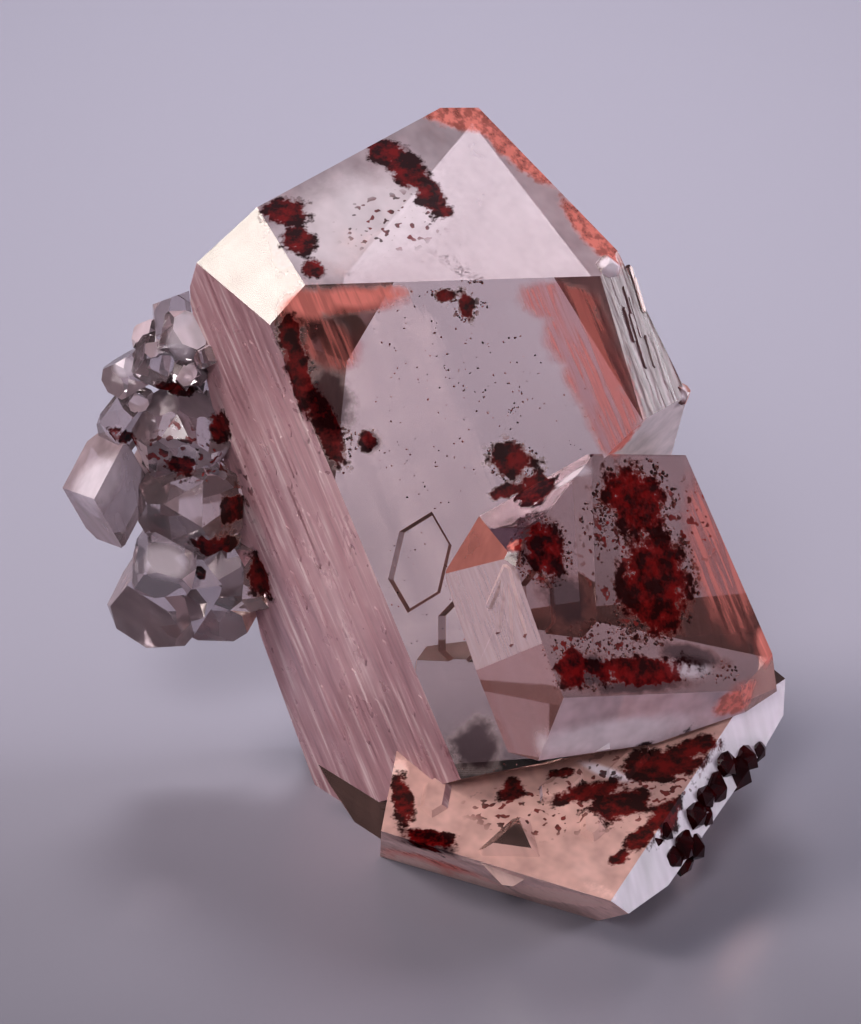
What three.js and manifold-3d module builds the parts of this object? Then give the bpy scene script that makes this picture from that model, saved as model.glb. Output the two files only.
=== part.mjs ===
// Dolomite crystal group, in millimetres, +Z up, front towards -Y, standing on its cut base.
// A large clear crystal leans back to the left, a second one is grown into its lower right side,
// a low one lies at their foot, and a cluster of small rhombs sits on the left flank. All of them
// are intergrown, so they are joined into one solid.
//
// A crystal is a set of flat faces around a centre. Each face is stated by the compass direction
// it looks towards (0 is +X, 90 is +Y), its tilt above level, both in degrees, and its distance
// from the centre in millimetres.
import * as THREE from "three";
import { ConvexGeometry } from "three/addons/geometries/ConvexGeometry.js";
import { mergeVertices } from "three/addons/utils/BufferGeometryUtils.js";
import Module from "manifold-3d";

const { Manifold, Mesh } = await Module().then((kit) => (kit.setup(), kit));

const face = (compass, tilt, distance) => ({ compass, tilt, distance });

// Large crystal
const LARGE_CENTRE = [0.4, 6.4, 21.8];
const LARGE = {
  front: face(-90, 25, 7.8),
  top: face(-92.7, 65.5, 10.85),
  leftBevel: face(-130.3, 44.4, 12.33),
  left: face(-143.3, -5.3, 9.25),
  leftHeel: face(172.6, -22.9, 14.19),
  backLeftTop: face(131.9, 27.8, 12.54),
  backLeftStep: face(122.8, 7.5, 9.51),
  backLeft: face(134.4, -11.3, 9.17),
  backTop: face(90, 51.6, 17.6),
  backRight: face(30.4, 16.6, 10.9),
  back: face(72.5, -21.7, 6.19),
  frontHeel: face(-68.2, -57.8, 20.66),
  right: face(-43.2, 29.2, 13.36),
  rightBack: face(5.6, 4.9, 14.26),
};
// Its right side steps in below a pale facet: what lies outside both of these faces is cut away
const LARGE_NOTCH = {
  rightFoot: face(-39.4, -30, 10.28),
  shaftSide: face(9.1, -1.3, 7.86),
};

// Bevel at the lower left edge, next to the base
const SKIRT_CENTRE = [-1.3, 1.9, 0.3];
const SKIRT = {
  front: face(-143.7, 21.6, 3.64),
  left: face(-176.7, -44.5, 2.41),
  leftFoot: face(-173.6, -48.7, 2.17),
  top: face(-179.7, 84.2, 2.69),
  right: face(0, 0, 1.45),
  back: face(90, -19.6, 5.97),
};

// Second crystal, on the lower right
const SECOND_CENTRE = [11.1, -1.7, 15];
const SECOND = {
  front: face(-52.7, 31.9, 3.69),
  topLeft: face(-157.4, 62.9, 8.13),
  leftCorner: face(-159.2, 38.5, 9.36),
  topCorner: face(-126.6, 42.8, 9.5),
  left: face(-135.9, 3.4, 9.07),
  leftFoot: face(-134.6, 1.5, 9.12),
  bottom: face(-64.7, -19.7, 7.46),
  rightBevel: face(-36.4, -7.3, 8.15),
  backTop: face(95.1, 60.2, 7.3),
  right: face(22.1, 15.7, 6.19),
  under: face(-92.7, -79.2, 7.96),
  underRight: face(-36.2, -72.9, 8.16),
  hiddenLeft: face(165.6, -6.6, 8.49),
  back: face(64.3, -24.8, 9.09),
};

// Low crystal at the foot, whose broad ledge looks up to the front
const LOW_CENTRE = [7.8, -4.7, 3.2];
const LOW = {
  ledge: face(-113.8, 73.4, 3.7),
  left: face(174.6, 7.7, 9.56),
  front: face(-121.4, -44, 6.53),
  right: face(-34.6, 19.4, 9.02),
  rightBack: face(19.1, -17.7, 11.62),
  underRight: face(-10.6, -38.3, 7.16),
  underMiddle: face(-17.9, -36.5, 6.97),
  underFront: face(-36.1, -53.2, 6.41),
  top: face(133.5, 84, 4.57),
  back: face(98.9, -24.7, 12.23),
};

// Small rhombs of the left cluster: centre, face distance, where the long axis points (compass,
// tilt), turn about it, and how far out the steep and the end faces cut, as shares of the size
const rhomb = (centre, size, compass, tilt, turn, steep, end) => {
  return { centre, size, compass, tilt, turn, steep, end };
};
const RHOMBS = [
  rhomb([-14.4, 9.3, 26.8], 1.05, 200, 40, 10, 1.65, 1.2),
  rhomb([-13.8, 7.8, 26.2], 0.95, 250, 15, 40, 1.6, 1.1),
  rhomb([-16.9, 9, 23.6], 0.98, 235, 50, 20, 1.45, 1.2),
  rhomb([-15, 8.3, 24.6], 1.05, 300, 35, 70, 1.6, 1.3),
  rhomb([-15.8, 10, 25.6], 0.6, 160, 35, 30, 1.6, 1.3),
  rhomb([-13.6, 7.1, 20.8], 1.75, 262, 30, 30, 1.5, 1.12),
  rhomb([-17.3, 8.5, 20.5], 1.1, 190, 20, 60, 1.6, 1.2),
  rhomb([-18.1, 7.2, 17], 1.9, 184, 3, 75, 1.75, 1.42),
  rhomb([-13.3, 5.5, 16.6], 1.9, 268, 24, 0, 1.45, 1),
  rhomb([-14.9, 4.9, 13.3], 1.35, 240, 10, 50, 1.6, 1.2),
  rhomb([-14.9, 7.1, 11], 2.3, 232, 42, 50, 1.5, 1.2),
  rhomb([-10.7, 6.5, 12.2], 1.65, 280, 50, 80, 1.6, 1.2),
  rhomb([-12.1, 7.8, 10.5], 1.8, 255, 20, 35, 1.6, 1.2),
  rhomb([-12.6, 10.1, 17.9], 2.3, 240, 70, 5, 1.6, 1.2),
  rhomb([-12.8, 10.3, 23.5], 1.6, 200, 10, 55, 1.6, 1.2),
];
// Crystals of the fine druse in the hollows between the larger ones, and on two worn corners
const DRUSE = [
  rhomb([-12.4, 6.9, 25.5], 0.5, 230, 40, 0, 1.6, 1.3),
  rhomb([-12.9, 6.9, 24.4], 0.42, 290, 20, 45, 1.6, 1.2),
  rhomb([-15.5, 8, 25.4], 0.45, 200, 60, 20, 1.6, 1.3),
  rhomb([-14.6, 7.9, 26], 0.4, 255, 30, 80, 1.6, 1.2),
  rhomb([-13.5, 7, 24.2], 0.45, 210, 10, 30, 1.6, 1.3),
  rhomb([-16.2, 8.3, 22.3], 0.5, 240, 50, 60, 1.6, 1.2),
  rhomb([-11.8, 5.7, 19], 0.5, 300, 40, 15, 1.6, 1.3),
  rhomb([-15.5, 6.9, 19.3], 0.45, 220, 20, 70, 1.6, 1.2),
  rhomb([-11.2, 4.7, 15.1], 0.5, 270, 60, 40, 1.6, 1.3),
  rhomb([-13, 4.7, 14.8], 0.45, 250, 10, 10, 1.6, 1.2),
  rhomb([10.3, 3.4, 32.5], 0.4, 290, 50, 30, 1.6, 1.2),
  rhomb([14.5, 2.3, 25.2], 0.38, 320, 20, 65, 1.6, 1.2),
];
// A step crystal rises from the ledge of the low crystal
const STEP_CRYSTAL = rhomb([5.2, -12.4, 4], 1.25, 262, 68, 25, 1.6, 0.9);
// Angles between the long axis and the faces of a dolomite rhomb
const RHOMB_TILT = 43.9;
const STEEP_TILT = 62.7;
const UNEVENNESS = 0.12;

// Crumbs of dark matrix on the right of the low crystal: centre and radius
const CRUMBS = [
  [[17.6, -5.4, 5.4], 1.15],
  [[16.8, -6.2, 6.2], 0.9],
  [[16.2, -7.4, 5.3], 1.15],
  [[18, -4.6, 5.9], 1],
  [[15.5, -8.5, 5.3], 1],
  [[14.9, -9.6, 4.8], 1.1],
  [[18.9, -3.4, 5.7], 0.75],
  [[14.2, -11.1, 3.8], 1.2],
  [[14.9, -10.4, 3.2], 1],
  [[13.6, -12.1, 3.5], 0.95],
  [[12.8, -12.6, 4.8], 0.6],
  [[15.5, -8.6, 4.3], 1.05],
  [[14.4, -11.1, 2.6], 0.7],
  [[13.3, -12, 5.1], 0.6],
];
const CRUMB_POINTS = 18;

// Low growth strips: how many, the stretch of the face they lie on (along and across, from the
// point of the face nearest the centre), and their length, width and height, all in millimetres
const LEFT_STRIPS = {
  count: 30, along: [-6, 16], across: [-1, 3.3], slant: -0.35,
  length: [1.6, 5], width: [0.22, 0.6], height: [0.04, 0.1],
};
const RIGHT_STRIPS = {
  count: 8, along: [-3.6, 1.6], across: [3.9, 5.9], slant: 0.2,
  length: [1.6, 3.4], width: [0.2, 0.4], height: [0.06, 0.14],
};
// Ridges that fan out from the top corner of the second crystal's left face, in degrees
const FAN_CORNER = [-3.4, 1.9];
const FAN_TURNS = [-8, -24, -38, -54];
const FAN_LENGTHS = [4.2, 4.8, 4.4, 3.4];
const FAN_WIDTH = 0.5;
const FAN_HEIGHT = 0.14;
// Broad growth steps: along, across, length, width, height, turn in degrees
const LEDGE_STEPS = [
  [5.6, -4.6, 3.4, 1.6, 0.3, 20],
  [2.2, 1.6, 3.6, 1.8, 0.25, -15],
  [4.4, 4.6, 3, 1.4, 0.35, 30],
  [-0.6, 4.4, 3.8, 1.5, 0.25, -10],
];
const BACK_STEPS = [
  [8.6, 1.5, 6, 3.2, 0.25, 8],
  [12.4, -1.2, 4.4, 2.4, 0.35, -6],
];
const SUNK = 0.3;
const RELIEF_SEED = 12;
const CRUMB_SEED = 5;

// Unit vector for a compass direction and a tilt
function direction(compass, tilt) {
  const lat = THREE.MathUtils.degToRad(tilt);
  const lon = THREE.MathUtils.degToRad(compass);
  return new THREE.Vector3(
    Math.cos(lat) * Math.cos(lon),
    Math.cos(lat) * Math.sin(lon),
    Math.sin(lat),
  );
}

// Corners of the solid that a list of planes encloses: the points where three of them meet
function corners(planes) {
  const found = [];
  const hit = new THREE.Vector3();
  const solver = new THREE.Matrix3();
  for (let i = 0; i < planes.length; i += 1) {
    for (let j = i + 1; j < planes.length; j += 1) {
      for (let k = j + 1; k < planes.length; k += 1) {
        const [a, b, c] = [planes[i], planes[j], planes[k]];
        solver.set(
          a.normal.x, a.normal.y, a.normal.z,
          b.normal.x, b.normal.y, b.normal.z,
          c.normal.x, c.normal.y, c.normal.z,
        );
        if (Math.abs(solver.determinant()) < 1e-4) continue;
        hit.set(a.distance, b.distance, c.distance).applyMatrix3(solver.invert());
        const inside = planes.every((p) => p.normal.dot(hit) < p.distance + 1e-6);
        if (inside) found.push(hit.clone());
      }
    }
  }
  return found;
}

// A closed convex solid around points
function solid(points) {
  const geometry = new ConvexGeometry(points);
  geometry.deleteAttribute("normal");
  const merged = mergeVertices(geometry, 1e-4);
  return new Manifold(new Mesh({
    numProp: 3,
    vertProperties: new Float32Array(merged.attributes.position.array),
    triVerts: new Uint32Array(merged.index.array),
  }));
}

// A crystal from its centre and named faces, cut off at the base
function crystal(centre, faces) {
  const planes = Object.values(faces).map(({ compass, tilt, distance }) => {
    return { normal: direction(compass, tilt), distance };
  });
  planes.push({ normal: new THREE.Vector3(0, 0, -1), distance: centre[2] });
  const at = new THREE.Vector3(...centre);
  return solid(corners(planes).map((p) => p.add(at)));
}

// A small rhomb: six rhomb faces, six steep ones on its side corners and two end faces
function smallRhomb({ centre, size, compass, tilt, turn, steep, end }, order) {
  const axis = direction(compass, tilt);
  const side = new THREE.Vector3(0, 0, 1).cross(axis).normalize();
  const other = axis.clone().cross(side);
  const planes = [];
  const add = (polar, around, distance) => {
    const p = THREE.MathUtils.degToRad(polar);
    const q = THREE.MathUtils.degToRad(around + turn);
    const normal = axis.clone().multiplyScalar(Math.cos(p));
    normal.addScaledVector(side, Math.sin(p) * Math.cos(q));
    normal.addScaledVector(other, Math.sin(p) * Math.sin(q));
    planes.push({ normal, distance });
  };
  for (let k = 0; k < 3; k += 1) {
    const uneven = 1 + UNEVENNESS * Math.sin(order * 7.1 + k * 2.3);
    add(RHOMB_TILT, 120 * k, size * uneven);
    add(180 - RHOMB_TILT, 120 * k + 180, size * (2 - uneven));
    add(STEEP_TILT, 120 * k + 60, size * steep);
    add(180 - STEEP_TILT, 120 * k, size * steep);
  }
  add(0, 0, size * end);
  add(180, 0, size * end);
  const at = new THREE.Vector3(...centre);
  return solid(corners(planes).map((p) => p.add(at)));
}

// The space outside all of the named faces, out to a reach beyond the crystal
function outside(centre, faces, reach = 30) {
  const planes = Object.values(faces).map(({ compass, tilt, distance }) => {
    return { normal: direction(compass, tilt).negate(), distance: -distance };
  });
  for (const turn of [0, 90, 180, 270]) {
    planes.push({ normal: direction(turn, 0), distance: reach });
  }
  planes.push({ normal: direction(0, 90), distance: reach });
  planes.push({ normal: direction(0, -90), distance: reach });
  const at = new THREE.Vector3(...centre);
  return solid(corners(planes).map((p) => p.add(at)));
}

// Repeatable random numbers from 0 to 1
function randomFrom(seed) {
  let state = seed;
  return (low = 0, high = 1) => {
    state = (state * 1664525 + 1013904223) % 4294967296;
    return low + (high - low) * (state / 4294967296);
  };
}

// A face's own axes: its foot point, its outward normal, and the directions along and across,
// where along runs down the edge that it shares with the face beside it
function axesOf(centre, on, beside) {
  const normal = direction(on.compass, on.tilt);
  const along = normal.clone().cross(direction(beside.compass, beside.tilt)).normalize();
  if (along.z > 0) along.negate();
  const across = normal.clone().cross(along);
  const foot = new THREE.Vector3(...centre).addScaledVector(normal, on.distance);
  return { foot, normal, along, across };
}

// A low plate with pointed ends and sloping rims, sunk into the face that it stands on
function plate(axes, along, across, length, width, height, turn = 0) {
  const spin = THREE.MathUtils.degToRad(turn);
  const ring = (shrink, level) => {
    const half = length / 2 - shrink;
    const side = width / 2 - shrink;
    const neck = half - side;
    return [[half, 0], [neck, side], [-neck, side], [-half, 0], [-neck, -side], [neck, -side]]
      .map(([x, y]) => {
        const a = along + x * Math.cos(spin) - y * Math.sin(spin);
        const c = across + x * Math.sin(spin) + y * Math.cos(spin);
        const point = axes.foot.clone().addScaledVector(axes.along, a);
        return point.addScaledVector(axes.across, c).addScaledVector(axes.normal, level);
      });
  };
  return solid([...ring(0, -SUNK), ...ring(0, 0), ...ring(Math.min(height, width / 4), height)]);
}

// Growth strips scattered over a face, all lying along it
function strips(axes, { count, along, across, slant, length, width, height }, random) {
  return Array.from({ length: count }, () => {
    const a = random(...along);
    const low = across[0] + slant * (a - along[0]);
    const c = random(Math.min(low, across[1]), Math.max(low, across[1]));
    return plate(axes, a, c, random(...length), random(...width), random(...height));
  });
}

// Ridges that fan out over a face from one corner
function fan(axes) {
  return FAN_TURNS.map((turn, i) => {
    const reach = FAN_LENGTHS[i] / 2;
    const spin = THREE.MathUtils.degToRad(turn);
    const along = FAN_CORNER[0] + reach * Math.cos(spin);
    const across = FAN_CORNER[1] + reach * Math.sin(spin);
    return plate(axes, along, across, FAN_LENGTHS[i], FAN_WIDTH, FAN_HEIGHT, turn);
  });
}

// An irregular lump: a hull around points spread evenly over a ball and moved in and out
function crumb(centre, radius, random) {
  const golden = Math.PI * (3 - Math.sqrt(5));
  const at = new THREE.Vector3(...centre);
  return solid(Array.from({ length: CRUMB_POINTS }, (_, i) => {
    const level = 1 - (2 * (i + 0.5)) / CRUMB_POINTS;
    const ring = Math.sqrt(1 - level * level);
    const around = new THREE.Vector3(Math.cos(golden * i) * ring, Math.sin(golden * i) * ring, level);
    return around.multiplyScalar(radius * random(0.7, 1.15)).add(at);
  }));
}

const random = randomFrom(RELIEF_SEED);
const largeLeft = axesOf(LARGE_CENTRE, LARGE.left, LARGE.front);
const largeRight = axesOf(LARGE_CENTRE, LARGE.right, LARGE.front);
const largeBack = axesOf(LARGE_CENTRE, LARGE.back, LARGE.backLeft);
const secondLeft = axesOf(SECOND_CENTRE, SECOND.left, SECOND.front);
const lowLedge = axesOf(LOW_CENTRE, LOW.ledge, LOW.right);

const large = crystal(LARGE_CENTRE, LARGE).subtract(outside(LARGE_CENTRE, LARGE_NOTCH));
const pieces = [
  large,
  crystal(SKIRT_CENTRE, SKIRT),
  crystal(SECOND_CENTRE, SECOND),
  crystal(LOW_CENTRE, LOW),
  ...RHOMBS.map(smallRhomb),
  ...DRUSE.map(smallRhomb),
  smallRhomb(STEP_CRYSTAL, 0),
  ...strips(largeLeft, LEFT_STRIPS, random),
  ...strips(largeRight, RIGHT_STRIPS, random),
  ...fan(secondLeft),
  ...LEDGE_STEPS.map((step) => plate(lowLedge, ...step)),
  ...BACK_STEPS.map((step) => plate(largeBack, ...step)),
];
const crumbRandom = randomFrom(CRUMB_SEED);
for (const [centre, radius] of CRUMBS) pieces.push(crumb(centre, radius, crumbRandom));
const joined = Manifold.union(pieces);

// The joined solid as a three.js geometry, with the middle of its base at the origin
const { vertProperties, triVerts } = joined.getMesh();
const geometry = new THREE.BufferGeometry();
geometry.setAttribute("position", new THREE.BufferAttribute(vertProperties, 3));
geometry.setIndex(new THREE.BufferAttribute(triVerts, 1));
geometry.computeBoundingBox();
const { min, max } = geometry.boundingBox;
geometry.translate(-(min.x + max.x) / 2, -(min.y + max.y) / 2, -min.z);

const dolomite = new THREE.MeshStandardMaterial({
  color: 0xd8b4ac,
  roughness: 0.12,
  metalness: 0,
});
const mesh = new THREE.Mesh(geometry, dolomite);
mesh.name = "dolomite_crystals";

const group = new THREE.Group();
group.name = "dolomite_crystal_group";
group.add(mesh);

export default group;
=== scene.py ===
import math
import random

import bmesh
import bpy
import numpy as np
from mathutils import Matrix, Vector
from mathutils.bvhtree import BVHTree


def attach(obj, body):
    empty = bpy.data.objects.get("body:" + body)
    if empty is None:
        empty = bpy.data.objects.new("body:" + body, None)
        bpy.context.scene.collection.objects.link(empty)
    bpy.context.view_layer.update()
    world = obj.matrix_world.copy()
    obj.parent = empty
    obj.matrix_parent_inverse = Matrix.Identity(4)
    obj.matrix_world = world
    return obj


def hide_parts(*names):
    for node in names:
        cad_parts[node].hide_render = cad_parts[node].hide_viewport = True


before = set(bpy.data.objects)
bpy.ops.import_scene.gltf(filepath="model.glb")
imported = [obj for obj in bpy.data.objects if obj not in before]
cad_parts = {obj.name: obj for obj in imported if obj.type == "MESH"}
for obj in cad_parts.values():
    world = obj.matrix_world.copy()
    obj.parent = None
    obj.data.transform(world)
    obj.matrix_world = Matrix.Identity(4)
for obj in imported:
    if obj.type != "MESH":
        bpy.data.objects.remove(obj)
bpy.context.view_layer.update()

MM = 0.001

# The camera
# It stands where the photograph was taken from: straight in front, 25 degrees up, 300 mm away,
# with a long lens, so that 18 pixels of the picture are one millimetre on the front face.
VIEW_TILT = math.radians(25)
VIEW_DISTANCE = 300 * MM
PIXELS_PER_MM = 18.0
PICTURE_WIDTH, PICTURE_HEIGHT = 861, 1024
PICTURE_MIDDLE = Vector((0.47, -2.89, 20.34)) * MM
SENSOR = 36.0
view_back = Vector((0.0, -math.cos(VIEW_TILT), math.sin(VIEW_TILT)))
view_up = Vector((0.0, math.sin(VIEW_TILT), math.cos(VIEW_TILT)))
view_right = Vector((1.0, 0.0, 0.0))
eye = PICTURE_MIDDLE + view_back * VIEW_DISTANCE
bpy.ops.object.camera_add(location=eye, rotation=(math.pi / 2 - VIEW_TILT, 0.0, 0.0))
camera = bpy.context.object
camera.data.sensor_fit = "VERTICAL"
camera.data.sensor_height = SENSOR
camera.data.lens = SENSOR * VIEW_DISTANCE / (PICTURE_HEIGHT / PIXELS_PER_MM * MM)
camera.data.clip_start = 10 * MM
bpy.context.scene.camera = camera

# The clear crystals
# The whole group is one solid of dolomite: two large clear crystals, a low one at their foot and
# a cluster of small rhombs, all grown together. The faces are flat; the long left face of the
# large crystal is frosted, the right one and the fan on the second crystal are finely ridged.
# For each named face: compass and tilt in degrees, then frost, streaks along the crystal, amount
# of veil, colour of the veil and tint of the clear part. The veil is a film of iron oxide; its
# bright peach and pale colours on the low crystal's faces and the left heel are also a painted
# glow of light through the crystal, and its cream on the bevel is a painted highlight.
FACES = {
    "front": (-90, 25, 0.0, 0.0, 0.05, (0.90, 0.70, 0.68), (1.0, 0.98, 0.98)),
    "top": (-92.7, 65.5, 0.0, 0.0, 0.5, (1.0, 0.84, 0.95), (1.0, 0.96, 0.99)),
    "bevel": (-130.3, 44.4, 0.25, 0.0, 0.25, (1.0, 0.82, 0.74), (1.0, 0.95, 0.93)),
    "left": (-143.3, -5.3, 0.7, 1.0, 0.8, (0.57, 0.33, 0.37), (0.95, 0.78, 0.80)),
    "left heel": (172.6, -22.9, 0.5, 0.3, 0.5, (1.0, 0.52, 0.46), (1.0, 0.75, 0.70)),
    "right": (-43.2, 29.2, 0.3, 1.0, 0.8, (0.15, 0.085, 0.09), (0.75, 0.66, 0.68)),
    "right foot": (-39.4, -30, 0.1, 0.0, 1.1, (1.0, 0.85, 0.88), (1.0, 0.9, 0.92)),
    "second front": (-52.7, 31.9, 0.0, 0.0, 0.10, (0.40, 0.15, 0.13), (0.72, 0.58, 0.57)),
    "second top left": (-157.4, 62.9, 0.0, 0.0, 0.55, (0.10, 0.045, 0.075), (0.6, 0.45, 0.55)),
    "second left corner": (-159.2, 38.5, 0.1, 0.0, 0.6, (0.85, 0.33, 0.29), (1.0, 0.7, 0.66)),
    "second top corner": (-126.6, 42.8, 0.2, 0.0, 0.7, (1.0, 0.85, 0.83), (1.0, 0.95, 0.95)),
    "second left": (-135.9, 3.4, 0.22, 0.6, 0.35, (0.95, 0.68, 0.68), (0.95, 0.85, 0.86)),
    "second left foot": (-134.6, 1.5, 0.12, 0.0, 0.35, (0.60, 0.25, 0.23), (0.8, 0.62, 0.60)),
    "second bottom": (-64.7, -19.7, 0.1, 0.0, 0.75, (1.0, 0.76, 0.86), (1.0, 0.88, 0.94)),
    "second right bevel": (-36.4, -7.3, 0.1, 0.0, 0.4, (0.85, 0.48, 0.45), (1.0, 0.8, 0.78)),
    "low ledge": (-113.8, 73.4, 0.2, 0.0, 0.95, (1.0, 0.62, 0.57), (1.0, 0.8, 0.77)),
    "low left": (174.6, 7.7, 0.2, 0.2, 0.9, (1.0, 0.62, 0.57), (1.0, 0.8, 0.77)),
    "low front": (-121.4, -44, 0.2, 0.2, 0.95, (1.0, 0.68, 0.64), (1.0, 0.8, 0.77)),
    "low right": (-34.6, 19.4, 0.1, 0.0, 0.8, (1.0, 0.88, 1.0), (1.0, 0.92, 0.98)),
    "back": (72.5, -21.7, 0.0, 0.2, 0.10, (0.9, 0.45, 0.40), (1.0, 0.9, 0.88)),
    "back left": (134.4, -11.3, 0.5, 0.3, 0.3, (0.85, 0.48, 0.45), (1.0, 0.85, 0.82)),
    "back right": (30.4, 16.6, 0.1, 0.3, 0.10, (0.9, 0.45, 0.40), (1.0, 0.85, 0.82)),
}
# The look of a face of the cluster, and of a face that has no name
CLUSTER_LOOK = (0.12, 0.0, 0.25, (0.55, 0.42, 0.46), (0.90, 0.84, 0.88))
OTHER_LOOK = (0.05, 0.0, 0.15, (0.85, 0.50, 0.45), (1.0, 0.9, 0.88))
# Where the cluster ends, where the dark crumbs are, and the largest face of a crumb
CLUSTER_EDGE = -0.0115
CRUMB_EDGE, CRUMB_FRONT, CRUMB_TOP = 0.0125, -0.002, 0.0075
CRUMB_AREA = 0.8 * MM * MM
# How near a face lies to the plane of a named one that it shares its look with
SAME_WAY = math.cos(math.radians(1.2))
SAME_PLANE = 0.02 * MM
STEP_HEIGHT = 0.5 * MM
SMALL_AREA = 2.5 * MM * MM
WALL_VEIL = 0.75
# Each face of the cluster is veiled and whitened by chance
CLUSTER_SEED = 5
CLUSTER_VEIL, WHITE_VEIL = 0.2, 0.75
CLUSTER_TONE, WHITE_TONE = 0.6, 1.6
# Merging of the copied mesh, and wear of its edges
WELD = 0.004 * MM
FLAT_ANGLE = math.radians(0.6)
EDGE_ANGLE = math.radians(24)
EDGE_WEAR = 0.05 * MM


def looking(compass, tilt):
    """Unit vector that looks along a compass direction and a tilt, in degrees."""
    turn, rise = math.radians(compass), math.radians(tilt)
    level = math.cos(rise)
    return Vector((level * math.cos(turn), level * math.sin(turn), math.sin(rise)))


bpy.ops.object.select_all(action="DESELECT")
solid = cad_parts["dolomite_crystals"]
crystals = solid.copy()
crystals.data = solid.data.copy()
crystals.name = "clear_crystals"
crystals.data.materials.clear()
bpy.context.collection.objects.link(crystals)
bpy.context.view_layer.objects.active = crystals
crystals.select_set(True)
bpy.ops.object.mode_set(mode="EDIT")
bpy.ops.mesh.select_all(action="SELECT")
bpy.ops.mesh.remove_doubles(threshold=WELD)
bpy.ops.mesh.dissolve_degenerate(threshold=WELD)
bpy.ops.mesh.dissolve_limited(angle_limit=FLAT_ANGLE)
bpy.ops.object.mode_set(mode="OBJECT")
worn = crystals.modifiers.new("worn edges", "BEVEL")
worn.width = EDGE_WEAR
worn.segments = 1
worn.limit_method = "ANGLE"
worn.angle_limit = EDGE_ANGLE
bpy.ops.object.modifier_apply(modifier=worn.name)
bpy.ops.object.shade_flat()

masks = {"frost": "FLOAT", "streak": "FLOAT", "veil": "FLOAT", "crust": "FLOAT",
         "veil_colour": "FLOAT_COLOR", "tint": "FLOAT_COLOR"}
for name, kind in masks.items():
    crystals.data.attributes.new(name, kind, "FACE")
frost, streak, veil, crust, veil_colour, tint = [crystals.data.attributes[name] for name in masks]
pick = random.Random(CLUSTER_SEED)
planes = []
for polygon in crystals.data.polygons:
    for compass, tilt, *own in FACES.values():
        if (polygon.area > SMALL_AREA and polygon.center.x >= CLUSTER_EDGE
                and polygon.normal.dot(looking(compass, tilt)) > SAME_WAY):
            corners = [crystals.data.vertices[i].co for i in polygon.vertices]
            reach = max((corner - polygon.center).length for corner in corners)
            planes.append((polygon.normal.copy(), polygon.center.copy(), reach, own))
for polygon in crystals.data.polygons:
    look = OTHER_LOOK
    if polygon.center.x < CLUSTER_EDGE:
        look = CLUSTER_LOOK
    else:
        height = STEP_HEIGHT if polygon.area < SMALL_AREA else SAME_PLANE
        for normal, middle, reach, own in planes:
            gap = polygon.center - middle
            if abs(gap.dot(normal)) < height and gap.length < reach:
                look, height = own, abs(gap.dot(normal))
    frost.data[polygon.index].value = look[0]
    streak.data[polygon.index].value = look[1]
    wall = polygon.area < SMALL_AREA and look is not OTHER_LOOK
    veil.data[polygon.index].value = max(look[2], WALL_VEIL) if wall else look[2]
    veil_colour.data[polygon.index].color = (*look[3], 1.0)
    tint.data[polygon.index].color = (*look[4], 1.0)
    if polygon.center.x < CLUSTER_EDGE:
        white = pick.random() ** 2
        veil.data[polygon.index].value = CLUSTER_VEIL + WHITE_VEIL * white
        tones = [min(tone * (CLUSTER_TONE + WHITE_TONE * white), 1) for tone in look[3]]
        veil_colour.data[polygon.index].color = (*tones, 1.0)
    crumb = (polygon.area < CRUMB_AREA and polygon.center.x > CRUMB_EDGE
             and polygon.center.y < CRUMB_FRONT and polygon.center.z < CRUMB_TOP)
    crust.data[polygon.index].value = 1.0 if crumb else 0.0


class Shade:
    """A shader socket that takes sums, differences and products as Math nodes."""

    def __init__(self, tree, socket):
        self.tree = tree
        self.socket = socket

    def node(self, kind, settings=None, **sockets):
        """Add a node, apply its settings, then set or link the sockets that are named."""
        added = self.tree.nodes.new(kind)
        for name, value in (settings or {}).items():
            if name == "ramp":
                stops = added.color_ramp.elements
                while len(stops) < len(value):
                    stops.new(0.5)
                for stop, (place, colour) in zip(stops, value):
                    stop.position = place
                    stop.color = colour
            else:
                setattr(added, name, value)
        for name, value in sockets.items():
            key = int(name[1:]) if name[0] == "n" and name[1:].isdigit() else name.replace("_", " ")
            socket = added.inputs[key]
            if isinstance(value, Shade):
                self.tree.links.new(value.socket, socket)
            else:
                socket.default_value = value
        return added

    def out(self, kind, output=0, settings=None, **sockets):
        """The same, giving one of the node's outputs to go on with."""
        return Shade(self.tree, self.node(kind, settings, **sockets).outputs[output])

    def maths(self, operation, other=0.0, swap=False):
        first, second = (other, self) if swap else (self, other)
        return self.out("ShaderNodeMath", 0, {"operation": operation}, n0=first, n1=second)

    def __add__(self, other):
        return self.maths("ADD", other)

    def __radd__(self, other):
        return self.maths("ADD", other, True)

    def __sub__(self, other):
        return self.maths("SUBTRACT", other)

    def __rsub__(self, other):
        return self.maths("SUBTRACT", other, True)

    def __mul__(self, other):
        return self.maths("MULTIPLY", other)

    def __rmul__(self, other):
        return self.maths("MULTIPLY", other, True)

    def clamped(self):
        return self.out("ShaderNodeClamp", 0, None, Value=self)


def new_material(name):
    """An empty node material with its output, and a Shade to build it from."""
    material = bpy.data.materials.new(name)
    material.use_nodes = True
    material.node_tree.nodes.clear()
    start = Shade(material.node_tree, None)
    return material, start, start.node("ShaderNodeOutputMaterial")


# Index of refraction of dolomite
CRYSTAL_IOR = 1.68

shape = bmesh.new()
shape.from_mesh(crystals.data)
hull = BVHTree.FromBMesh(shape)
shape.free()


def sight(x, y):
    """Direction from the eye through a point of the picture, counted in its pixels."""
    across = (x - PICTURE_WIDTH / 2) / PIXELS_PER_MM * MM
    down = (y - PICTURE_HEIGHT / 2) / PIXELS_PER_MM * MM
    return (view_right * across - view_up * down - view_back * VIEW_DISTANCE).normalized()


# Reach of a mark through the face, its least half height, and the reach where there is no mark
MARK_DEPTH = 1.2 * MM
MARK_LEAST = 0.05 * MM
NO_MARK = 9.0


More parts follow.
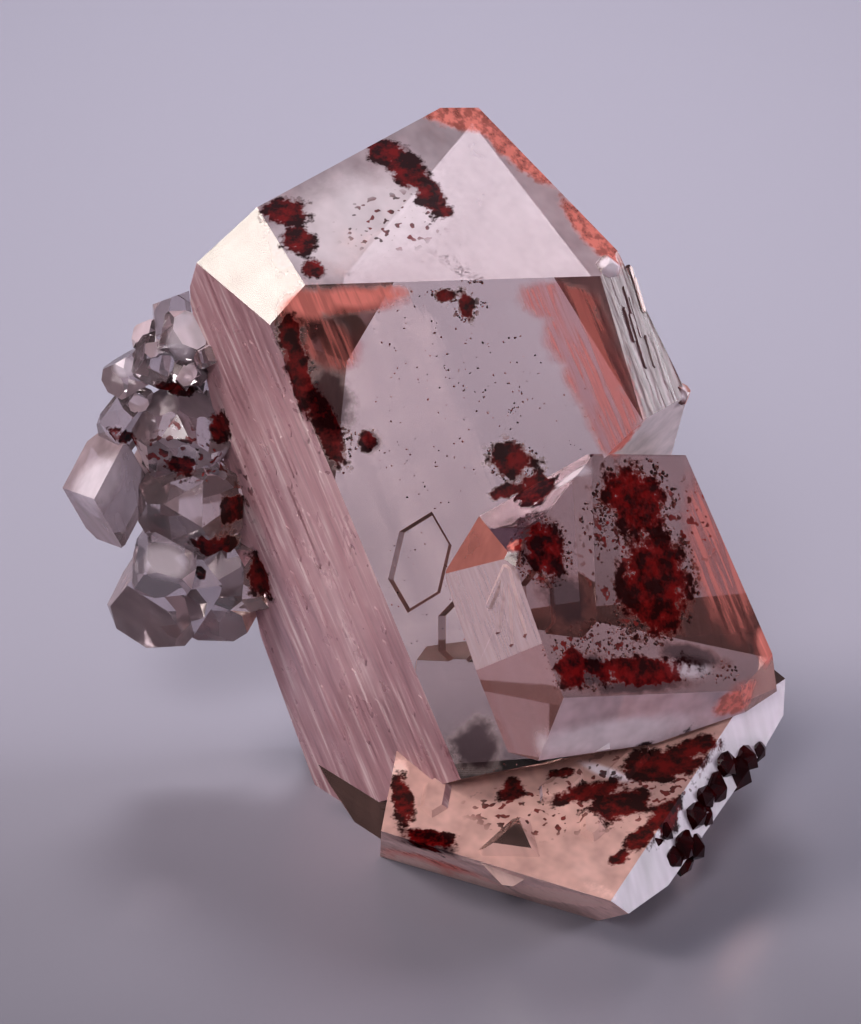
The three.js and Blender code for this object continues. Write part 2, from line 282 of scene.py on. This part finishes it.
def nearest(places, spots):
    """For each place, its distance to the nearest of the ellipses on the faces: 1 is on a rim."""
    least = np.full(len(places), NO_MARK)
    for x, y, wide, high, turn in spots:
        spot, normal, _, _ = hull.ray_cast(eye, sight(x, y))
        spin = math.radians(turn)
        arms = []
        for a, b in ((wide * math.cos(spin), wide * math.sin(spin)),
                     (-high * math.sin(spin), high * math.cos(spin))):
            ray = sight(x + a, y + b)
            arms.append(eye + ray * ((spot - eye).dot(normal) / ray.dot(normal)) - spot)
        across = arms[0].normalized()
        along = normal.cross(across)
        sizes = (arms[0].length, max(abs(arms[1].dot(along)), MARK_LEAST), MARK_DEPTH)
        gap = places - np.array(spot)
        parts = [gap @ np.array(axis) / size for axis, size in zip((across, along, normal), sizes)]
        least = np.minimum(least, np.sqrt(sum(part * part for part in parts)))
    return least


# Marks on the faces: dark red stains and fine dark specks of iron oxide, and painted light and
# shade: salmon glows of light through the crystal, pale marks that are partly real frost and
# fractures and partly painted highlights, painted shade and dark reflections, and painted bright
# rims and embers of light along the edges. Each mark is an ellipse, in picture pixels: its middle
# across and down, its half sizes, and its turn in degrees.
STAINS = [
    (386, 152, 26, 14, 20), (408, 172, 28, 18, 50), (430, 195, 24, 15, 60), (446, 212, 8, 7, 0),
    (285, 212, 26, 16, 10), (298, 240, 18, 18, 60), (314, 268, 12, 14, 60),
    (445, 296, 12, 8, 0), (466, 306, 9, 18, -10), (512, 460, 26, 20, 10), (505, 492, 22, 8, -20),
    (300, 375, 14, 55, -14), (328, 430, 14, 44, -20), (368, 440, 10, 12, 0), (290, 335, 14, 22, 0),
    (635, 500, 42, 34, 30), (655, 585, 40, 62, 5), (545, 550, 22, 34, -20), (572, 668, 20, 26, 0),
    (640, 672, 60, 18, 0), (535, 490, 24, 16, -30),
    (403, 800, 12, 30, -10), (430, 838, 30, 10, 10), (512, 790, 16, 14, 0), (620, 805, 38, 18, -15),
    (665, 765, 50, 18, -10), (665, 815, 26, 16, -50), (620, 858, 14, 8, -30),
    (590, 792, 44, 10, -12), (695, 748, 34, 12, -20), (640, 838, 20, 12, -50), (560, 772, 18, 6, 0),
    (175, 388, 15, 7, 0), (217, 428, 10, 18, 0), (182, 465, 18, 9, 0), (233, 508, 13, 18, 30),
    (213, 548, 28, 8, -8), (201, 573, 6, 8, 0), (125, 437, 9, 7, 0), (262, 575, 7, 26, -8),
]
# Painted glows of salmon light through the crystal, along its edges and bands
GLOWS = [
    (350, 300, 58, 16, -2), (300, 310, 26, 20, 0), (330, 345, 34, 26, 30),
    (560, 302, 46, 22, 10), (578, 336, 40, 36, 60), (596, 374, 42, 34, 64), (612, 412, 42, 30, 66),
    (618, 440, 24, 20, 0), (468, 118, 60, 14, 12), (518, 152, 60, 14, 40), (592, 232, 50, 13, 50),
    (720, 560, 30, 90, -14), (765, 645, 12, 22, -10), (740, 700, 30, 12, -20),
    (440, 870, 60, 10, 15),
]
# Pale marks: partly real pale frost and white fractures, partly painted highlights such as white
# glints on faces of the cluster and thin bright strips
PALES = [
    (360, 222, 96, 50, -24), (690, 668, 24, 12, 0), (610, 735, 90, 16, -8),
    (180, 345, 14, 18, 0), (165, 562, 28, 20, 20), (122, 368, 10, 10, 0), (98, 480, 22, 26, 0),
    (608, 262, 12, 6, -10), (684, 394, 4, 8, 0), (606, 772, 26, 6, 20), (572, 476, 26, 3, -35),
]
SHADES = [
    (540, 545, 26, 42, -25), (566, 598, 34, 28, 40), (590, 672, 30, 22, 0), (640, 686, 60, 9, -4),
    (476, 746, 30, 30, -20), (690, 655, 40, 12, 14), (330, 400, 26, 44, -18), (372, 440, 10, 14, 0),
    (425, 846, 36, 5, 14),
]
SPECKS = [
    (625, 790, 96, 44, -12), (530, 812, 70, 30, 8), (592, 655, 52, 36, 0), (538, 548, 30, 46, -22),
    (392, 222, 60, 34, -10), (512, 460, 34, 28, 10), (300, 375, 22, 66, -16),
    (690, 520, 34, 50, -14), (465, 305, 20, 20, 0), (640, 560, 70, 90, 0), (190, 460, 70, 110, -10),
]
# Painted highlights: bright rims of light along edges near the foot of the group
RIMS = [
    (422, 868, 36, 10, 14), (480, 884, 34, 9, 12), (560, 896, 50, 7, 8), (398, 772, 10, 14, 0),
]
# Painted embers: small spots of glowing light on the edges
EMBERS = [
    (312, 303, 30, 16, 0), (352, 298, 40, 11, 0), (390, 292, 24, 8, 0),
    (765, 645, 7, 18, -10), (515, 545, 8, 6, 0),
]

# The faces are cut into cells, fine ones near a mark, which carry the distance to the marks
CELL = 0.35 * MM
COARSE_CELL = 2.0 * MM
HALVINGS = 6
NEAR = 2.2

cells = bmesh.new()
cells.from_mesh(crystals.data)
bmesh.ops.triangulate(cells, faces=cells.faces[:])
for _ in range(HALVINGS):
    edges = [edge for edge in cells.edges if edge.calc_length() > CELL]
    middles = np.array([((edge.verts[0].co + edge.verts[1].co) / 2)[:] for edge in edges])
    near = nearest(middles, STAINS + GLOWS + PALES + EMBERS + RIMS + SHADES)
    wanted = [edge for edge, reach in zip(edges, near)
              if edge.calc_length() > COARSE_CELL or reach < NEAR]
    bmesh.ops.subdivide_edges(cells, edges=wanted, cuts=1)
    bmesh.ops.triangulate(cells, faces=[face for face in cells.faces if len(face.verts) > 3])
cells.to_mesh(crystals.data)
cells.free()
places = np.array([vertex.co[:] for vertex in crystals.data.vertices])
for name, spots in (("stain", STAINS), ("glow", GLOWS), ("pale", PALES), ("ember", EMBERS),
                    ("rim", RIMS), ("shade", SHADES), ("speck", SPECKS)):
    reach = crystals.data.attributes.new(name, "FLOAT", "POINT")
    reach.data.foreach_set("value", nearest(places, spots))

# Colours of the clear body, of the films and stains on it, and of the light and shade painted
# into the film
BODY_COLOUR = (0.86, 0.70, 0.66, 1.0)
BODY_DENSITY = 46.0
CRUST_DARK = (0.020, 0.001, 0.002, 1.0)
CRUST_RED = (0.20, 0.006, 0.007, 1.0)
SALMON = (0.92, 0.31, 0.27, 1.0)
SALMON_TINT = (0.82, 0.27, 0.245, 1.0)
FLECK = (1.0, 0.86, 0.86, 1.0)
FURROW = (0.30, 0.13, 0.16, 1.0)
PALE = (1.0, 0.88, 0.97, 1.0)
RIM = (1.0, 0.70, 0.65, 1.0)
SHADE = (0.07, 0.04, 0.045, 1.0)
# How many times longer than wide the streaks are
STREAK_LENGTH = 14.0
# How ragged the edge of each kind of mark is, and where the mark starts and ends to fade
STAIN_RAGGED, STAIN_FADE = 1.9, (0.75, 1.05)
GLOW_RAGGED, GLOW_FADE = 0.5, (0.7, 1.15)
EMBER_RAGGED, EMBER_FADE = 1.1, (0.5, 1.25)
SHADE_RAGGED, SHADE_FADE = 1.1, (0.5, 1.2)
RIM_RAGGED, RIM_FADE = 0.9, (0.5, 1.2)
PALE_RAGGED, PALE_FADE = 0.4, (0.5, 1.3)
SPECK_LEVEL, SPECK_FADE = (0.59, 0.64), (0.6, 1.1)
# Levels of the fine noise that make salmon stripes, light flecks and dark furrows
STRIPE_LEVEL, FLECK_LEVEL, FURROW_LEVEL = (0.62, 0.36), (0.52, 0.72), (0.30, 0.50)
FLECK_SHARE, FURROW_SHARE = 0.55, 0.6
# How evenly a glow tints the clear part, and how much its stripes add
GLOW_EVEN, GLOW_STRIPES = 0.7, 0.3
# Height of ridges and frost, and the roughness of frost: its least, and what etching adds
BUMP_HEIGHT, BUMP_STRENGTH = 0.1 * MM, 0.35
FROST_LEAST, FROST_ETCHED = 0.2, 0.5
# The even part of a veil, its broad clouds and its fine streaks
VEIL_EVEN, VEIL_CLOUDS, VEIL_STREAKS = 0.35, 0.7, 0.5
# Levels of the ragged noise between which the iron oxide turns from dark to red
IRON_LEVEL = (0.42, 0.62)
# How much darker the crumbs are than a stain, and how matt films and stains are
CRUMB_DARKENING = 0.85
FILM_ROUGHNESS = 0.55
# How far each mark covers the clear crystal
STAIN_COVER, SPECK_COVER = 0.97, 0.9
GLOW_COVER, PALE_COVER, EMBER_COVER, RIM_COVER, SHADE_COVER = 0.42, 0.32, 0.6, 0.65, 0.68

dolomite, draw, surface = new_material("clear dolomite")
place = draw.out("ShaderNodeTexCoord", "Object")
long_axis = looking(*FACES["front"][:2]).cross(looking(*FACES["left"][:2])).normalized()
along = draw.out("ShaderNodeMapping", 0, {"vector_type": "TEXTURE"}, Vector=place,
                 Rotation=long_axis.to_track_quat("Z", "Y").to_euler(),
                 Scale=(1.0, 1.0, STREAK_LENGTH))


def mask(name, output="Fac"):
    """One of the attributes of the crystals."""
    return draw.out("ShaderNodeAttribute", output, {"attribute_name": name})


def noise(where, scale, detail, roughness):
    """Noise from 0 to 1, with its scale in waves to a metre."""
    return draw.out("ShaderNodeTexNoise", "Fac", None, Vector=where, Scale=scale, Detail=detail,
                    Roughness=roughness)


def fade(value, limits):
    """Goes smoothly from 1 at the first limit to 0 at the second."""
    return draw.out("ShaderNodeMapRange", 0, {"interpolation_type": "SMOOTHSTEP"}, Value=value,
                    From_Min=limits[0], From_Max=limits[1], To_Min=1.0, To_Max=0.0)


def blend(amount, first, second):
    """Goes from the first colour to the second as the amount goes from 0 to 1."""
    return draw.out("ShaderNodeMix", 2, {"data_type": "RGBA"}, n0=amount, n6=first, n7=second)


frost_mask, streak_mask, crust_mask = mask("frost"), mask("streak"), mask("crust")
fine = noise(along, 2600.0, 2.0, 0.6)
broad = noise(along, 700.0, 2.0, 0.6)
etched = noise(place, 600.0, 2.0, 0.65)
ragged = noise(place, 950.0, 3.0, 0.7)
grainy = noise(place, 2100.0, 1.0, 0.5)
uneven, streaky = ragged - 0.5, fine - 0.5
stained = fade(mask("stain") + STAIN_RAGGED * uneven, STAIN_FADE)
painted_glow = fade(mask("glow") + GLOW_RAGGED * uneven + GLOW_RAGGED * streaky, GLOW_FADE)
ember_glow = fade(mask("ember") + EMBER_RAGGED * streaky, EMBER_FADE)
specked = (1 - fade(grainy, SPECK_LEVEL)) * fade(mask("speck"), SPECK_FADE)
shaded = fade(mask("shade") + SHADE_RAGGED * uneven, SHADE_FADE)
rim_highlight = fade(mask("rim") + RIM_RAGGED * uneven, RIM_FADE)
pale_film_and_highlight = fade(mask("pale") + PALE_RAGGED * uneven, PALE_FADE)
stripes = fade(fine, STRIPE_LEVEL)

# The clear crystal, roughened by frost and ridged by streaks
relief = streak_mask * fine + (1 - streak_mask) * etched * frost_mask
bump = draw.out("ShaderNodeBump", 0, None, Strength=BUMP_STRENGTH, Distance=BUMP_HEIGHT,
                Height=relief)
rough = (frost_mask * (FROST_LEAST + FROST_ETCHED * etched)).clamped()
# The painted glow also tints the clear part salmon
glow_tint = blend(painted_glow * (GLOW_EVEN + GLOW_STRIPES * stripes), mask("tint", "Color"), SALMON_TINT)
glass = draw.out("ShaderNodeBsdfPrincipled", 0, None, Base_Color=glow_tint, Roughness=rough,
                 IOR=CRYSTAL_IOR, Transmission_Weight=1.0, Normal=bump)

# The thin films and stains of iron oxide that lie on it, and the light and shade painted into
# the film: salmon glows and embers, highlights in the pale marks, bright rims and dark shade
tone = blend(painted_glow.maths("MAXIMUM", ember_glow), mask("veil_colour", "Color"), SALMON)
tone = blend(pale_film_and_highlight, tone, PALE)
tone = blend(rim_highlight, tone, RIM)
tone = blend(shaded, tone, SHADE)
tone = blend(FLECK_SHARE * streak_mask * (1 - fade(fine, FLECK_LEVEL)), tone, FLECK)
tone = blend(FURROW_SHARE * streak_mask * fade(fine, FURROW_LEVEL), tone, FURROW)
veiled = mask("veil") * (VEIL_EVEN + VEIL_CLOUDS * broad + VEIL_STREAKS * fine * streak_mask)
film_amount = (veiled + GLOW_COVER * painted_glow * stripes + PALE_COVER * pale_film_and_highlight
               + EMBER_COVER * ember_glow + RIM_COVER * rim_highlight + SHADE_COVER * shaded).clamped()
iron_amount = crust_mask.maths("MAXIMUM", STAIN_COVER * stained)
iron_amount = iron_amount.maths("MAXIMUM", SPECK_COVER * specked)
redness = draw.out("ShaderNodeMapRange", 0, None, Value=ragged,
                   From_Min=IRON_LEVEL[0], From_Max=IRON_LEVEL[1])
iron_tone = blend(redness * (1 - CRUMB_DARKENING * crust_mask), CRUST_DARK, CRUST_RED)
film = draw.out("ShaderNodeBsdfPrincipled", 0, None, Roughness=FILM_ROUGHNESS,
                Specular_IOR_Level=0.0, Coat_Weight=crust_mask,
                Base_Color=blend(iron_amount, tone, iron_tone))
mixed = draw.out("ShaderNodeMixShader", 0, None, n0=film_amount.maths("MAXIMUM", iron_amount),
                 n1=glass, n2=film)
body = draw.out("ShaderNodeVolumeAbsorption", 0, None, Color=BODY_COLOUR, Density=BODY_DENSITY)
draw.tree.links.new(mixed.socket, surface.inputs["Surface"])
draw.tree.links.new(body.socket, surface.inputs["Volume"])
crystals.data.materials.append(dolomite)
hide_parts("dolomite_crystals")
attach(crystals, "root")

# The inclusions
# Iron oxide grew inside the crystals as thin flakes and grains, in lobed patches, clouds and
# rows. They lie just under the faces, so each patch is laid along the sight lines that the
# photograph shows it on, bent at the face as the crystal bends light.
JUST_INSIDE = 0.02 * MM
FAR_WALL_GAP = 0.25 * MM
LEAST_DEPTH = 0.1 * MM


def inside_at(x, y, depth):
    """Point that is seen at picture pixel x, y and lies depth metres along the bent sight line."""
    ray = sight(x, y)
    hit, normal, _, _ = hull.ray_cast(eye, ray)
    if hit is None:
        return None
    slow = 1 / CRYSTAL_IOR
    cosine = -normal.dot(ray)
    steep = math.sqrt(1 - slow * slow * (1 - cosine * cosine))
    bent = slow * ray + (slow * cosine - steep) * normal
    spot = hit + bent * depth
    far, _, _, span = hull.ray_cast(hit + bent * JUST_INSIDE, bent)
    if far is not None and span < depth:
        spot = hit + bent * max(span - FAR_WALL_GAP, LEAST_DEPTH)
    return spot


# Each patch is an ellipse, in picture pixels: its middle across and down, its half sizes, its
# turn in degrees, then its depth and the size of its grains in mm, and how many grains it has.
PATCHES = [
    (390, 152, 22, 12, 20, 0.8, 0.30, 160), (412, 172, 26, 14, 55, 0.8, 0.32, 260),
    (432, 195, 22, 12, 60, 0.8, 0.30, 200), (448, 212, 8, 6, 0, 0.8, 0.25, 50),
    (285, 215, 28, 16, 10, 1.0, 0.30, 260), (300, 240, 20, 18, 60, 1.0, 0.28, 180),
    (312, 268, 14, 14, 60, 0.8, 0.28, 110), (349, 271, 6, 5, 0, 0.6, 0.20, 24),
    (400, 225, 66, 42, 20, 1.4, 0.17, 240), (458, 268, 30, 6, 32, 0.7, 0.20, 160),
    (443, 296, 13, 8, 0, 0.6, 0.26, 100), (465, 306, 12, 18, -10, 0.6, 0.22, 150),
    (478, 305, 12, 4, 0, 0.6, 0.16, 40), (512, 460, 26, 22, 10, 1.2, 0.24, 260),
    (515, 408, 13, 4, -40, 0.8, 0.16, 40), (455, 345, 90, 50, 20, 2.0, 0.17, 200),
    (450, 430, 80, 80, 0, 2.0, 0.16, 240), (560, 400, 60, 50, 60, 2.0, 0.13, 80),
    (430, 600, 40, 80, -20, 2.0, 0.13, 90),
    (305, 380, 14, 60, -18, 0.7, 0.26, 330), (330, 430, 14, 46, -20, 0.7, 0.26, 260),
    (345, 440, 18, 12, 20, 0.8, 0.24, 90), (368, 440, 10, 12, 0, 0.8, 0.22, 60),
    (300, 330, 18, 14, 0, 0.6, 0.22, 100), (635, 500, 42, 44, 30, 1.4, 0.34, 620),
    (655, 585, 44, 62, 5, 1.6, 0.36, 900), (610, 520, 30, 30, 0, 1.2, 0.28, 260),
    (542, 550, 30, 40, -22, 0.6, 0.24, 620), (596, 655, 46, 36, 0, 0.6, 0.22, 900),
    (715, 672, 26, 12, 0, 0.8, 0.24, 110), (403, 800, 14, 30, -10, 0.7, 0.26, 200),
    (512, 790, 16, 16, 0, 0.7, 0.26, 110), (615, 805, 52, 26, -15, 0.7, 0.24, 700),
    (665, 762, 60, 16, -14, 0.6, 0.24, 620), (675, 800, 34, 26, -40, 0.6, 0.24, 520),
    (520, 800, 110, 40, 5, 0.6, 0.16, 420), (572, 840, 14, 8, 30, 0.7, 0.22, 50),
    (620, 855, 16, 10, -30, 0.7, 0.24, 90),
]
# The share of those numbers that is made, the form of a grain and how uneven it is, the spread
# of depths and sizes, and what keeps the axis of a grain's turn from being nought
GRAIN_SHARE = 0.45
GRAIN_FORM = (1.0, 0.8, 0.45)
GRAIN_UNEVEN = 0.14
FORM_SEED = 3
DEPTH_RANGE = (0.6, 1.5)
SIZE_RANGE = (0.35, 1.1)
OFF_NOUGHT = 0.01
INCLUSION_SEED = 7

bpy.ops.object.select_all(action="DESELECT")
bpy.ops.mesh.primitive_ico_sphere_add(subdivisions=1, radius=1.0)
grain = bpy.context.object
grain.scale = GRAIN_FORM
bpy.ops.object.transform_apply(location=False, rotation=False, scale=True)
bpy.ops.object.mode_set(mode="EDIT")
bpy.ops.mesh.select_all(action="SELECT")
bpy.ops.transform.vertex_random(offset=GRAIN_UNEVEN, seed=FORM_SEED)
bpy.ops.object.mode_set(mode="OBJECT")
grain_points = np.array([vertex.co[:] for vertex in grain.data.vertices])
grain_faces = np.array([polygon.vertices[:] for polygon in grain.data.polygons])

chance = random.Random(INCLUSION_SEED)
points, faces = [], []
for x, y, wide, high, turn, depth, size, count in PATCHES:
    spin = math.radians(turn)
    for _ in range(int(count * GRAIN_SHARE)):
        reach, way = math.sqrt(chance.random()), chance.uniform(0, math.tau)
        a, b = wide * reach * math.cos(way), high * reach * math.sin(way)
        spot = inside_at(x + a * math.cos(spin) - b * math.sin(spin),
                         y + a * math.sin(spin) + b * math.cos(spin),
                         depth * chance.uniform(*DEPTH_RANGE) * MM)
        if spot is None:
            continue
        angle = chance.uniform(0, math.tau)
        axis = [chance.uniform(-1, 1) for _ in range(3)]
        axis[2] += OFF_NOUGHT
        turned = Matrix.Rotation(angle, 3, Vector(axis).normalized())
        scale = size * chance.uniform(*SIZE_RANGE) * MM / 2
        faces.append(grain_faces + len(grain_points) * len(points))
        points.append(grain_points @ np.array(turned).T * scale + np.array(spot))
bpy.data.objects.remove(grain)
mesh = bpy.data.meshes.new("inclusion_grains")
mesh.from_pydata(np.concatenate(points).tolist(), [], np.concatenate(faces).tolist())
inclusions = bpy.data.objects.new("inclusion_grains", mesh)
bpy.context.collection.objects.link(inclusions)

# Tones of the flakes, from black to red iron oxide; the pale pink top step is painted glints
GRAIN_TONES_AND_GLINTS = [
    (0.40, (0.02, 0.002, 0.003, 1.0)), (0.50, (0.13, 0.008, 0.010, 1.0)),
    (0.58, (0.42, 0.06, 0.05, 1.0)), (0.66, (0.95, 0.62, 0.60, 1.0)),
]
FLAKE_ROUGHNESS = 0.3
iron, draw, surface = new_material("iron oxide flakes")
place = draw.out("ShaderNodeTexCoord", "Object")
blotch = noise(place, 3200.0, 1.0, 0.5)
colour = draw.out("ShaderNodeValToRGB", 0, {"ramp": GRAIN_TONES_AND_GLINTS}, Fac=blotch)
flake = draw.out("ShaderNodeBsdfPrincipled", 0, None, Base_Color=colour,
                 Roughness=FLAKE_ROUGHNESS)
draw.tree.links.new(flake.socket, surface.inputs["Surface"])
mesh.materials.append(iron)
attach(inclusions, "root")

# The floor
# A plain pale floor of satin paper that the group stands on, wide enough to fill every view;
# its darker front is a painted shadow and reflection of the group.
FLOOR_SIZE = 3.0
FLOOR_FRONT, FLOOR_MIDDLE = -0.045, 0.025
FLOOR_PAINTED_SHADOW = (0.25, 0.235, 0.285, 1.0)
FLOOR_PALE = (0.43, 0.41, 0.50, 1.0)
FLOOR_SHEEN = 0.28
bpy.ops.object.select_all(action="DESELECT")
bpy.ops.mesh.primitive_plane_add(size=FLOOR_SIZE)
floor = bpy.context.object
floor.name = "floor"
paper, draw, surface = new_material("pale floor")
place = draw.out("ShaderNodeTexCoord", "Object")
depth = draw.out("ShaderNodeSeparateXYZ", "Y", None, Vector=place)
# Painted shadow and reflection of the group: darker towards the front
shadow_grade = blend(fade(depth, (FLOOR_FRONT, FLOOR_MIDDLE)), FLOOR_PALE, FLOOR_PAINTED_SHADOW)
sheet = draw.out("ShaderNodeBsdfPrincipled", 0, None, Base_Color=shadow_grade, Roughness=FLOOR_SHEEN)
draw.tree.links.new(sheet.socket, surface.inputs["Surface"])
floor.data.materials.append(paper)

# The light
# Soft studio light: a broad panel above and behind, one on the upper left that the bevel
# mirrors, a low one on the right for the right faces, one above the camera, and an even room.
# For each panel: its place, what it points at, size, spread in degrees, watts and colour
PANELS = [
    ("back panel", (-0.03, 0.33, 0.32), (0.0, 0.15, 0.0), 0.20, 34, 0.115, (1.0, 0.98, 1.0)),
    ("left panel", (-0.30, 0.0, 0.28), (-0.005, 0.0, 0.02), 0.15, 40, 0.048, (1.0, 0.92, 0.86)),
    ("right panel", (0.36, 0.06, 0.10), (0.0, 0.0, 0.02), 0.12, 70, 0.10, (0.96, 0.95, 1.0)),
    ("front panel", (-0.10, -0.50, 0.42), (0.0, 0.0, 0.02), 0.20, 30, 0.055, (1.0, 0.97, 0.96)),
]
for name, spot, target, size, spread, watts, colour in PANELS:
    bpy.ops.object.light_add(type="AREA", location=spot)
    panel = bpy.context.object
    panel.name = name
    panel.data.shape = "SQUARE"
    panel.data.size = size
    panel.data.energy = watts
    panel.data.color = colour
    panel.data.spread = math.radians(spread)
    aim = Vector(target) - Vector(spot)
    panel.rotation_euler = aim.to_track_quat("-Z", "Y").to_euler()

ROOM_COLOUR = (0.62, 0.6, 0.7, 1.0)
ROOM_STRENGTH = 0.14
world = bpy.data.worlds.new("pale room")
bpy.context.scene.world = world
world.use_nodes = True
room = world.node_tree.nodes["Background"]
room.inputs["Color"].default_value = ROOM_COLOUR
room.inputs["Strength"].default_value = ROOM_STRENGTH

scene = bpy.context.scene
scene.view_settings.view_transform = "Standard"
scene.view_settings.look = "Medium High Contrast"
scene.cycles.max_bounces = 6
scene.cycles.transmission_bounces = 6
scene.cycles.glossy_bounces = 4
scene.cycles.diffuse_bounces = 1
scene.cycles.light_sampling_threshold = 0.05
scene.cycles.caustics_refractive = True
scene.cycles.caustics_reflective = True
scene.cycles.blur_glossy = 0.5
